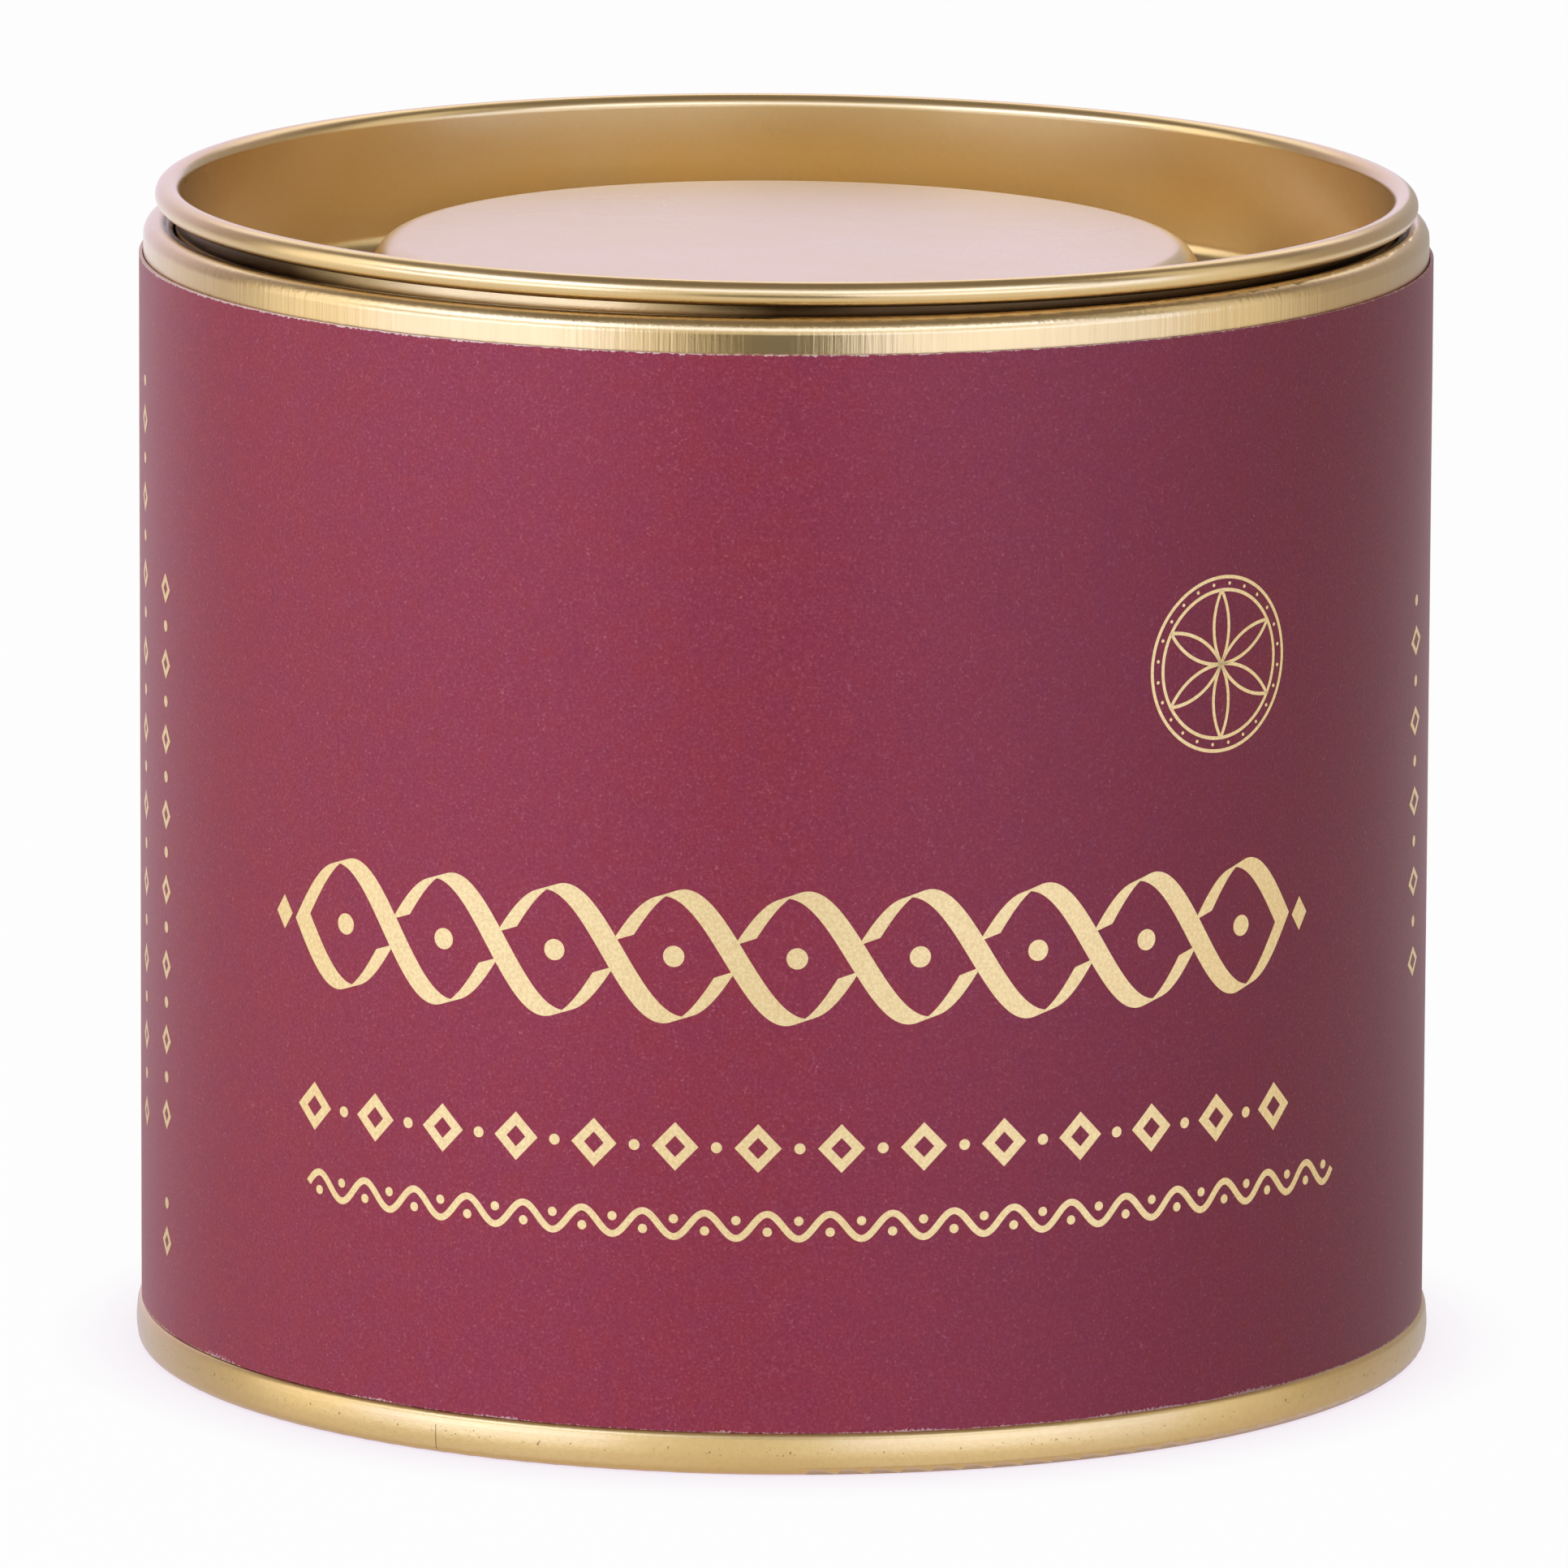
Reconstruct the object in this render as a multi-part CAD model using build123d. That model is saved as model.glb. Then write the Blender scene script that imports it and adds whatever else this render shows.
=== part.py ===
from build123d import *
import os
from math import cos, pi, radians, sin, tan

# Candle tin: a seamed tinplate tin with a press-in lid, a wrapped paper label and a poured candle.
# Millimetres. The origin is the centre of the foot, on the surface that the tin stands on, +Z is up.
# The label's lap faces +Y, the back.

# --- tinplate -------------------------------------------------------------------------------------
sheet = 0.25                 # thickness of every tinplate pressing

# --- tin body -------------------------------------------------------------------------------------
body_radius = 37.75          # outside of the bare wall
body_top = 67.0              # highest point of the rolled mouth
mouth_roll = 0.90            # outside radius of the roll at the mouth

# --- base seam: five layers of sheet folded together ----------------------------------------------
seam_stand = 0.55            # the fold's crown stands out past the wall
seam_height = 2.50
seam_lean = 8.0              # degrees from upright of the fold's two faces, which meet in the crown
crown_bend = 4.5             # rounding of the crown
seam_gap = 0.04              # film of compound between neighbouring layers
foot_bend = 0.60             # the fold's lower corners, which leave a narrow flat ring to stand on
hook_room = 0.12             # from the end's folded edge down into the wall's hook
compound_depth = 0.28        # bead of compound over the wall's folded edge
compound_skin = 0.015        # hairline round the bead of compound
neck_height = 0.45           # the wall draws in over this height, just above the fold
neck_lift = 0.05             # from the fold's top up to the drawn-in wall
neck_bend = 0.30

# --- base end -------------------------------------------------------------------------------------
panel_recess = 3.60          # underside of the base panel above the surface
panel_bend = 0.60            # bend between the panel and its upright wall
step_inset = 6.75            # the panel steps up this far inside the wall, which stiffens it
step_height = 0.50
step_run = 0.80              # width of the sloping step
step_bend = 0.40

# --- lid ------------------------------------------------------------------------------------------
lid_fit = 0.10               # radial clearance of the plug wall in the mouth
rim_roll = 0.73              # outside radius of the roll round the lid
rim_gap = 0.50               # between the two rolls: the lid is not pressed fully home
lid_cant = 0.35              # degrees: the lid sits a little higher on its -X side
groove_depth = 8.40          # from the rim's top down to the floor of the finger groove
centre_drop = 3.25           # from the rim's top down to the raised centre
centre_radius = 23.5         # raised centre, to the corner before it is rounded
centre_bend = 1.80           # rounding of the raised centre's shoulder
flank_angle = 60.0           # slope of the raised centre's side, from the horizontal
groove_bend = 1.20           # bends at the foot of the flank and of the plug wall

# --- paper label ----------------------------------------------------------------------------------
label_thickness = 0.20
glue_line = 0.05
label_lift = 0.12            # from the fold's top up to the label's lower edge
label_height = 62.40
label_lap = 6.0              # length of the lap at the back
lap_taper = 0.8              # the lapping end rises onto the end below over this length

# --- candle ---------------------------------------------------------------------------------------
wax_depth = 44.0             # above the base panel's centre
wax_skin = 0.02              # hairline between the wax and what it was poured against
meniscus_rise = 0.90         # the wax creeps up the wall as it sets
meniscus_run = 2.20
wick_radius = 1.15
wick_above_wax = 7.0
crimp_gap = 0.03             # between the wick and the tab's neck
tab_radius = 10.0
tab_sheet = 0.30
tab_neck_height = 6.0
tab_bend = 0.60
sticker_radius = 9.5
sticker_thickness = 1.0

# --- worked out from the values above -------------------------------------------------------------
seam_radius = body_radius + seam_stand                   # outside of the fold, at its crown
crown_corner = seam_radius + crown_bend * (1 / cos(radians(seam_lean)) - 1)
fold_radius = crown_corner - seam_height / 2 * tan(radians(seam_lean))
layer = sheet + seam_gap
body_hook_radius = fold_radius - layer                   # outside of the wall's folded edge
cover_hook_radius = fold_radius - 2 * layer - sheet      # inside of the end's folded edge
necked_radius = cover_hook_radius - seam_gap             # outside of the wall within the fold
chuck_radius = necked_radius - layer - sheet             # inside of the end's upright wall
top_bend = (fold_radius - cover_hook_radius) / 2         # the end's turn over the wall's edge
hook_bend = (body_hook_radius - sheet - necked_radius) / 2
hook_low = sheet + layer                                 # inside of the wall's hook
body_hook_top = seam_height - sheet - compound_depth - 2 * compound_skin
cover_hook_low = hook_low + hook_room
neck_low = seam_height + neck_lift
neck_top = neck_low + neck_height

mouth_inner = body_radius - 2 * mouth_roll
mouth_roll_radius = body_radius - mouth_roll             # centre line of the roll
mouth_roll_low = body_top - 2 * mouth_roll
mouth_roll_height = body_top - mouth_roll

step_radius = body_radius - step_inset                   # inner edge of the sloping step
panel_top = panel_recess + sheet
step_low = panel_recess + step_height
step_top = step_low + sheet
step_foot = step_radius + step_run + sheet               # clear of the sloping step

well_radius = mouth_inner - lid_fit - sheet              # inside of the lid's plug wall
rim_radius = well_radius + 2 * rim_roll                  # outside of the lid's rim
rim_roll_radius = well_radius + rim_roll
rim_low = body_top + rim_gap
rim_top = rim_low + 2 * rim_roll
groove_floor = rim_top - groove_depth
centre_top = rim_top - centre_drop
flank_foot = centre_radius + (centre_top - groove_floor) / tan(radians(flank_angle))

label_bottom = seam_height + label_lift
label_inner = body_radius + glue_line
label_outer = label_inner + label_thickness
lap_outer = label_outer + label_thickness

sticker_top = step_top + sticker_thickness
tab_top = sticker_top + tab_sheet
neck_bore = wick_radius + crimp_gap
neck_radius = neck_bore + tab_sheet
tab_neck_top = tab_top + tab_neck_height
wax_top = step_top + wax_depth
wax_radius = body_radius - sheet - wax_skin
wick_top = wax_top + wick_above_wax


def bent_run(corners, bends):
    """Edges through (radius, height) corners, each inner corner rounded to its bend."""
    edges = []
    start = Vector(corners[0][0], 0, corners[0][1])
    places = [Vector(radius, 0, height) for radius, height in corners]
    for before, corner, after, bend in zip(places, places[1:], places[2:], bends):
        back = (before - corner).normalized()
        ahead = (after - corner).normalized()
        half_turn = radians(180 - back.get_angle(ahead)) / 2
        arc_start = corner + back * bend * tan(half_turn)
        if (arc_start - start).length > 1e-6:
            edges.append(Edge.make_line(start, arc_start))
        start = arc_start
        if bend > 0:
            crown = corner + (back + ahead).normalized() * bend * (1 / cos(half_turn) - 1)
            arc_end = corner + ahead * bend * tan(half_turn)
            edges.append(Edge.make_three_point_arc(arc_start, crown, arc_end))
            start = arc_end
    if (places[-1] - start).length > 1e-6:
        edges.append(Edge.make_line(start, places[-1]))
    return edges


def turned(edges):
    """The closed section turned once about Z."""
    return revolve(Face(Wire(edges)), axis=Axis.Z, revolution_arc=360, clean=False)


def pressing(corners, bends, thickness, side):
    """A turned sheet. Its exposed face follows the corners and its thickness lies to one side.

    side is 1 where the sheet lies to the left of the run and -1 where it lies to the right.
    """
    headings = []
    for (radius, height), (next_radius, next_height) in zip(corners, corners[1:]):
        headings.append(Vector(next_radius - radius, next_height - height).normalized())
    normals = [Vector(-heading.Y, heading.X) * side for heading in headings]
    back_corners = []
    back_bends = []
    for index, (radius, height) in enumerate(corners):
        first = normals[max(index - 1, 0)]
        second = normals[min(index, len(normals) - 1)]
        shift = (first + second) * thickness / (1 + first.dot(second))
        back_corners.append((radius + shift.X, height + shift.Y))
    for first, second, normal, bend in zip(headings, headings[1:], normals, bends):
        turns_to_back = second.dot(normal) > 0
        back_bends.append(bend - thickness if turns_to_back else bend + thickness)
    face = bent_run(corners, bends)
    back = bent_run(back_corners, back_bends)
    ends = [
        Edge.make_line(face[0] @ 0, back[0] @ 0),
        Edge.make_line(face[-1] @ 1, back[-1] @ 1),
    ]
    return turned(face + back + ends)


def make_body_shell():
    """Wall of the tin: the mouth is rolled inwards and the foot is hooked outwards into the seam."""
    corners = [
        (mouth_roll_radius, mouth_roll_low),
        (mouth_inner, mouth_roll_low),
        (mouth_inner, body_top),
        (body_radius, body_top),
        (body_radius, neck_top),
        (necked_radius, neck_low),
        (necked_radius, hook_low),
        (body_hook_radius - sheet, hook_low),
        (body_hook_radius - sheet, body_hook_top),
    ]
    bends = [mouth_roll, mouth_roll, mouth_roll, neck_bend + sheet, neck_bend, hook_bend, hook_bend]
    return pressing(corners, bends, sheet, -1)


def make_base_end():
    """Recessed base panel, its upright wall, and the edge folded up round the wall's hook."""
    corners = [
        (0, step_low),
        (step_radius, step_low),
        (step_radius + step_run, panel_recess),
        (chuck_radius, panel_recess),
        (chuck_radius, 0),
        (fold_radius, 0),
        (crown_corner, seam_height / 2),
        (fold_radius, seam_height),
        (cover_hook_radius, seam_height),
        (cover_hook_radius, cover_hook_low),
    ]
    fold_bends = [foot_bend, foot_bend, crown_bend, top_bend, top_bend]
    return pressing(corners, [step_bend, step_bend + sheet, panel_bend] + fold_bends, sheet, 1)


def make_seam_compound():
    """Bead of sealing compound between the wall's hooked edge and the fold over it."""
    low = body_hook_top + compound_skin
    inner = cover_hook_radius + sheet + compound_skin
    outer = fold_radius - sheet - compound_skin
    bend = (outer - inner) / 2
    top = seam_height - sheet - compound_skin
    run = bent_run([(inner, low), (inner, top), (outer, top), (outer, low)], [bend, bend])
    return turned(run + [Edge.make_line(run[-1] @ 1, run[0] @ 0)])


def make_paper_label():
    """One strip of paper wrapped round the wall, its end lapped over its start at the back."""
    ring = Plane.XY * (Circle(label_outer) - Circle(label_inner))
    back = 90.0
    half_lap = label_lap / 2 / label_outer * 180 / pi
    taper = lap_taper / label_outer * 180 / pi

    def at(radius, angle):
        return Vector(radius * cos(radians(angle)), radius * sin(radians(angle)))

    cut_end = back - half_lap
    rise_end = back + half_lap
    lap_edges = [
        Edge.make_line(at(label_inner, cut_end), at(lap_outer, cut_end)),
        Edge.make_three_point_arc(at(lap_outer, cut_end), at(lap_outer, back), at(lap_outer, rise_end)),
        Edge.make_line(at(lap_outer, rise_end), at(label_outer, rise_end + taper)),
        Edge.make_line(at(label_outer, rise_end + taper), at(label_inner, rise_end + taper)),
        Edge.make_three_point_arc(
            at(label_inner, rise_end + taper), at(label_inner, back), at(label_inner, cut_end)
        ),
    ]
    outline = ring + Face(Wire(lap_edges))
    return Pos(0, 0, label_bottom) * extrude(outline, amount=label_height)


def make_lid():
    """Pressed lid: raised centre, finger groove, plug wall and an outward rolled rim."""
    corners = [
        (0, centre_top),
        (centre_radius, centre_top),
        (flank_foot, groove_floor),
        (well_radius, groove_floor),
        (well_radius, rim_top),
        (rim_radius, rim_top),
        (rim_radius, rim_low),
        (rim_roll_radius, rim_low),
    ]
    bends = [centre_bend, groove_bend, groove_bend, rim_roll, rim_roll, rim_roll]
    level_lid = pressing(corners, bends, sheet, -1)
    cant_axis = Axis((0, 0, mouth_roll_height), (0, 1, 0))
    return level_lid.rotate(cant_axis, lid_cant)


def make_wax_fill():
    """Wax poured round the wick and its tab, with a low meniscus where it meets the wall."""
    corners = [
        (wick_radius + wax_skin, wax_top),
        (wax_radius - meniscus_run, wax_top),
        (wax_radius, wax_top + meniscus_rise),
        (wax_radius, panel_top + wax_skin),
        (step_foot, panel_top + wax_skin),
        (step_foot, step_top + wax_skin),
        (sticker_radius + wax_skin, step_top + wax_skin),
        (sticker_radius + wax_skin, sticker_top - wax_skin),
        (tab_radius + wax_skin, sticker_top - wax_skin),
        (tab_radius + wax_skin, tab_top + wax_skin),
        (neck_radius + wax_skin, tab_top + wax_skin),
        (neck_radius + wax_skin, tab_neck_top + wax_skin),
        (wick_radius + wax_skin, tab_neck_top + wax_skin),
    ]
    meniscus_bend = 2 * meniscus_run
    neck_corner = tab_bend + wax_skin
    bends = [meniscus_bend, 0, 0, 0, 0, 0, 0, 0, 0, neck_corner, 0]
    run = bent_run(corners, bends)
    return turned(run + [Edge.make_line(run[-1] @ 1, run[0] @ 0)])


def make_wick():
    """Braided cotton wick, standing on the sticker inside the tab's neck."""
    wick = Cylinder(wick_radius, wick_top - sticker_top, align=(Align.CENTER, Align.CENTER, Align.MIN))
    return Pos(0, 0, sticker_top) * wick


def make_wick_sustainer():
    """Pressed steel tab with an upright neck that is crimped on the wick."""
    corners = [(neck_radius, tab_neck_top), (neck_radius, tab_top), (tab_radius, tab_top)]
    return pressing(corners, [tab_bend], tab_sheet, -1)


def make_wick_sticker():
    """Double-sided foam disc between the tab and the base panel."""
    disc = Cylinder(sticker_radius, sticker_thickness, align=(Align.CENTER, Align.CENTER, Align.MIN))
    return Pos(0, 0, step_top) * disc


parts = {
    "body_shell": make_body_shell(),
    "base_end": make_base_end(),
    "seam_compound": make_seam_compound(),
    "paper_label": make_paper_label(),
    "lid": make_lid(),
    "wax_fill": make_wax_fill(),
    "wick": make_wick(),
    "wick_sustainer": make_wick_sustainer(),
    "wick_sticker": make_wick_sticker(),
}

os.makedirs("parts", exist_ok=True)
for name, shape in parts.items():
    export_step(shape, f"parts/{name}.step")
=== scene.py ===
from math import ceil, cos, pi, radians, sin, tan

import bmesh
import bpy
from mathutils import Matrix, Vector, noise


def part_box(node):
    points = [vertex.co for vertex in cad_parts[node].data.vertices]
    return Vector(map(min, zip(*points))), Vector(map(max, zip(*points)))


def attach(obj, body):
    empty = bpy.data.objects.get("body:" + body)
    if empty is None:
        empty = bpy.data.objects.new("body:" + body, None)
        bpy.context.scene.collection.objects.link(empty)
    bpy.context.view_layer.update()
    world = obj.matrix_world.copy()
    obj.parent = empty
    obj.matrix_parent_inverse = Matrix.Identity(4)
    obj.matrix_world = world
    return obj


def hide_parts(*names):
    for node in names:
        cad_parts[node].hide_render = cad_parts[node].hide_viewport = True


# Candle tin: gold-lacquered tinplate, a press-in lid, a wrapped paper label with foil ornament, and a
# poured candle with a braided wick. Metres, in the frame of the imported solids: the front is -Y.

MM = 0.001

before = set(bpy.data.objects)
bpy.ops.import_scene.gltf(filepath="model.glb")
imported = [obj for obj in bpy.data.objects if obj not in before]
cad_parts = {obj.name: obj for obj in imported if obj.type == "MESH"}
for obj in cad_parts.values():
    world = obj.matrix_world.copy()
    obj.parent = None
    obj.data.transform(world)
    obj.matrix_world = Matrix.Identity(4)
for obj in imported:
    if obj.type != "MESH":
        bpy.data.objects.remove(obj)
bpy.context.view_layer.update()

label_low, label_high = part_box("paper_label")
end_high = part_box("base_end")[1]
wax_low, wax_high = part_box("wax_fill")
wick_low, wick_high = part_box("wick")
tab_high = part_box("wick_sustainer")[1]
sticker_low, sticker_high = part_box("wick_sticker")

label_radius = -label_low.y              # outside of the plain paper: the lap is at the back only
lap_radius = label_high.y                # outside of the lapped end
paper_thickness = lap_radius - label_radius
label_foot = label_low.z - 0.16 * MM     # the paper rests on the rounded top of the base's fold
label_height = label_high.z - label_foot
label_girth = 2 * pi * label_radius
tin_sheet = 0.25 * MM                    # body, base and lid are pressed from one gauge
plug_radius = 35.6 * MM                  # the inside of the lid's plug wall


# --- small helpers --------------------------------------------------------------------------------


def srgb(code):
    """Linear colour with alpha from an sRGB hex value such as "#C8A46A"."""
    parts = [int(code[place:place + 2], 16) / 255 for place in (1, 3, 5)]
    linear = [part / 12.92 if part <= 0.04045 else ((part + 0.055) / 1.055) ** 2.4 for part in parts]
    return (*linear, 1.0)


def add_node(tree, kind, inputs=None, **settings):
    """A new shader node. Each input is a value for that socket, or another node's output to link."""
    made = tree.nodes.new(kind)
    for name, value in settings.items():
        setattr(made, name, value)
    for socket, value in (inputs or {}).items():
        if isinstance(value, bpy.types.NodeSocket):
            tree.links.new(value, made.inputs[socket])
        else:
            made.inputs[socket].default_value = value
    return made


def new_material(name):
    """An empty node material and its tree."""
    material = bpy.data.materials.new(name)
    material.use_nodes = True
    material.node_tree.nodes.clear()
    return material, material.node_tree


def new_object(name, bm, material, smooth_angle=None):
    """A finished object from a bmesh, in its place."""
    mesh = bpy.data.meshes.new(name)
    bm.to_mesh(mesh)
    bm.free()
    mesh.materials.append(material)
    if smooth_angle is not None:
        mesh.shade_smooth()
        mesh.set_sharp_from_angle(angle=radians(smooth_angle))
    made = bpy.data.objects.new(name, mesh)
    bpy.context.scene.collection.objects.link(made)
    return made


def new_piece(name, bm, material, body, smooth_angle):
    """A finished object that rides on a CAD body, in the finish it is given."""
    piece = new_object(name, bm, material, smooth_angle)
    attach(piece, body)
    return piece


# --- materials ------------------------------------------------------------------------------------


def gold_lacquered_tinplate(name, light, dark, satin, rolling, relief, marks_and_shade):
    """Cold-rolled tinplate, roller-coated with a transparent gold lacquer and stoved before pressing.

    The tin gives a satin metal whose fine rolling lines spread highlights sideways, and the lacquer a clear
    skin that adds a paler gloss. satin is the least roughness. rolling squeezes the noise along each axis,
    so that the lines run along the axis with the small value, and relief is their depth. The last argument
    gives the share of dark lacquer: damage from handling and tooling, the bare seam, and on the lid a
    painted shade in the crease under the rim.
    """
    material, tree = new_material(name)
    place = add_node(tree, "ShaderNodeTexCoord").outputs["Object"]
    stretched = add_node(tree, "ShaderNodeMapping", {"Vector": place, "Scale": rolling})
    # Rolling lines 0.02 mm apart are drawn 0.3 mm apart, the finest that shows.
    lines = add_node(
        tree,
        "ShaderNodeTexNoise",
        {"Vector": stretched.outputs[0], "Scale": 1 / (0.3 * MM), "Detail": 3.0, "Roughness": 0.6},
    )
    clouds = add_node(tree, "ShaderNodeTexNoise", {"Vector": place, "Scale": 1 / (9 * MM), "Detail": 4.0})
    roughness = add_node(
        tree,
        "ShaderNodeMapRange",
        {
            "Value": clouds.outputs["Fac"],
            "From Min": 0.3,
            "From Max": 0.7,
            "To Min": satin,
            "To Max": satin + 0.08,
        },
    )
    tone = add_node(
        tree,
        "ShaderNodeMix",
        {0: lines.outputs["Fac"], 6: srgb(dark), 7: srgb(light)},
        data_type="RGBA",
    )
    # Dark lacquer for tool damage and the bare seam, and on the lid a painted shade in the crease.
    share = marks_and_shade(tree, place)
    marked_and_shaded = add_node(
        tree, "ShaderNodeMix", {0: share, 6: tone.outputs[2], 7: srgb("#3E2A14")}, data_type="RGBA"
    )
    skin = add_node(tree, "ShaderNodeMath", {0: 1.0, 1: share}, operation="SUBTRACT")
    bump = add_node(
        tree,
        "ShaderNodeBump",
        {"Height": lines.outputs["Fac"], "Strength": 1.0, "Distance": relief},
    )
    metal = add_node(
        tree,
        "ShaderNodeBsdfPrincipled",
        {
            "Base Color": marked_and_shaded.outputs[2],
            "Metallic": 1.0,
            "Roughness": roughness.outputs[0],
            "Normal": bump.outputs[0],
            "Coat Weight": skin.outputs[0],
            "Coat Roughness": 0.2,
            "Coat IOR": 1.5,
        },
    )
    add_node(tree, "ShaderNodeOutputMaterial", {"Surface": metal.outputs[0]})
    return material


def base_marks(tree, place):
    """Pits that the seaming roll left round the base's fold, and one hairline in the lacquer."""
    track_height = 1.45 * MM             # the middle of the roll's track, and half its width
    track_reach = 0.25 * MM
    hairline_turn = radians(31.3)        # left of the front
    hairline_reach = 0.035 * MM
    darkness = 0.6
    pits = add_node(
        tree, "ShaderNodeTexNoise", {"Vector": place, "Scale": 1 / (0.2 * MM), "Detail": 1.0}
    )
    pit = add_node(
        tree,
        "ShaderNodeMapRange",
        {"Value": pits.outputs["Fac"], "From Min": 0.68, "From Max": 0.74},
    )
    height = add_node(tree, "ShaderNodeSeparateXYZ", {"Vector": place}).outputs["Z"]
    track = add_node(
        tree, "ShaderNodeMath", {0: height, 1: track_height, 2: track_reach}, operation="COMPARE"
    )
    pitted = add_node(
        tree, "ShaderNodeMath", {0: pit.outputs[0], 1: track.outputs[0]}, operation="MULTIPLY"
    )
    turned = add_node(
        tree,
        "ShaderNodeMapping",
        {"Vector": place, "Rotation": (0, 0, hairline_turn)},
        vector_type="POINT",
    )
    sides = add_node(tree, "ShaderNodeSeparateXYZ", {"Vector": turned.outputs[0]})
    narrow = add_node(
        tree, "ShaderNodeMath", {0: sides.outputs["X"], 1: 0.0, 2: hairline_reach}, operation="COMPARE"
    )
    outside = add_node(
        tree, "ShaderNodeMath", {0: sides.outputs["Y"], 1: -end_high.y, 2: 4 * MM}, operation="COMPARE"
    )
    upright = add_node(
        tree, "ShaderNodeMath", {0: height, 1: 1.0 * MM, 2: 0.75 * MM}, operation="COMPARE"
    )
    line = add_node(
        tree, "ShaderNodeMath", {0: narrow.outputs[0], 1: outside.outputs[0]}, operation="MULTIPLY"
    )
    hairline = add_node(
        tree, "ShaderNodeMath", {0: line.outputs[0], 1: upright.outputs[0]}, operation="MULTIPLY"
    )
    both = add_node(
        tree, "ShaderNodeMath", {0: pitted.outputs[0], 1: hairline.outputs[0]}, operation="MAXIMUM"
    )
    share = add_node(tree, "ShaderNodeMath", {0: both.outputs[0], 1: darkness}, operation="MULTIPLY")
    return share.outputs[0]


def wall_marks(tree, place):
    """The body's welded side seam at the back: a bare, darker stripe where the lacquer was left off."""
    stripe_reach = 0.45 * MM
    darkness = 0.7
    sides = add_node(tree, "ShaderNodeSeparateXYZ", {"Vector": place})
    narrow = add_node(
        tree, "ShaderNodeMath", {0: sides.outputs["X"], 1: 0.0, 2: stripe_reach}, operation="COMPARE"
    )
    behind = add_node(
        tree, "ShaderNodeMath", {0: sides.outputs["Y"], 1: end_high.y, 2: 4 * MM}, operation="COMPARE"
    )
    stripe = add_node(
        tree, "ShaderNodeMath", {0: narrow.outputs[0], 1: behind.outputs[0]}, operation="MULTIPLY"
    )
    share = add_node(tree, "ShaderNodeMath", {0: stripe.outputs[0], 1: darkness}, operation="MULTIPLY")
    return share.outputs[0]


def lid_painted_shade(tree, place):
    """Painted shade in the crease under the lid's rolled rim: darkened lacquer that stands for the shaded
    gap.

    Left of the middle, where the canted lid stands higher and the gap is less shaded, the painted shade
    fades and the gold shows.
    """
    crease_height = 67.20 * MM           # the middle of the crease, and half its height
    crease_reach = 0.50 * MM
    lit_middle = -14.5 * MM
    lit_reach = 5 * MM
    shaded_reach = 14 * MM
    sides = add_node(tree, "ShaderNodeSeparateXYZ", {"Vector": place})
    flat = add_node(tree, "ShaderNodeCombineXYZ", {"X": sides.outputs["X"], "Y": sides.outputs["Y"]})
    radius = add_node(tree, "ShaderNodeVectorMath", {0: flat.outputs[0]}, operation="LENGTH")
    off = add_node(tree, "ShaderNodeMath", {0: sides.outputs["X"], 1: lit_middle}, operation="SUBTRACT")
    far = add_node(tree, "ShaderNodeMath", {0: off.outputs[0]}, operation="ABSOLUTE")
    # How deep the painted shade is: faint near the lid's higher side, dark round the rest.
    shade_depth = add_node(
        tree,
        "ShaderNodeMapRange",
        {
            "Value": far.outputs[0],
            "From Min": lit_reach,
            "From Max": shaded_reach,
            "To Min": 0.1,
            "To Max": 0.97,
        },
    )
    on_plug = add_node(
        tree,
        "ShaderNodeMath",
        {0: radius.outputs["Value"], 1: plug_radius + tin_sheet, 2: 0.12 * MM},
        operation="COMPARE",
    )
    under_rim = add_node(
        tree,
        "ShaderNodeMath",
        {0: sides.outputs["Z"], 1: crease_height, 2: crease_reach},
        operation="COMPARE",
    )
    crease = add_node(
        tree, "ShaderNodeMath", {0: on_plug.outputs[0], 1: under_rim.outputs[0]}, operation="MULTIPLY"
    )
    # The crease's painted shade, deepest away from the lid's higher side.
    share = add_node(
        tree, "ShaderNodeMath", {0: crease.outputs[0], 1: shade_depth.outputs[0]}, operation="MULTIPLY"
    )
    return share.outputs[0]


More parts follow.
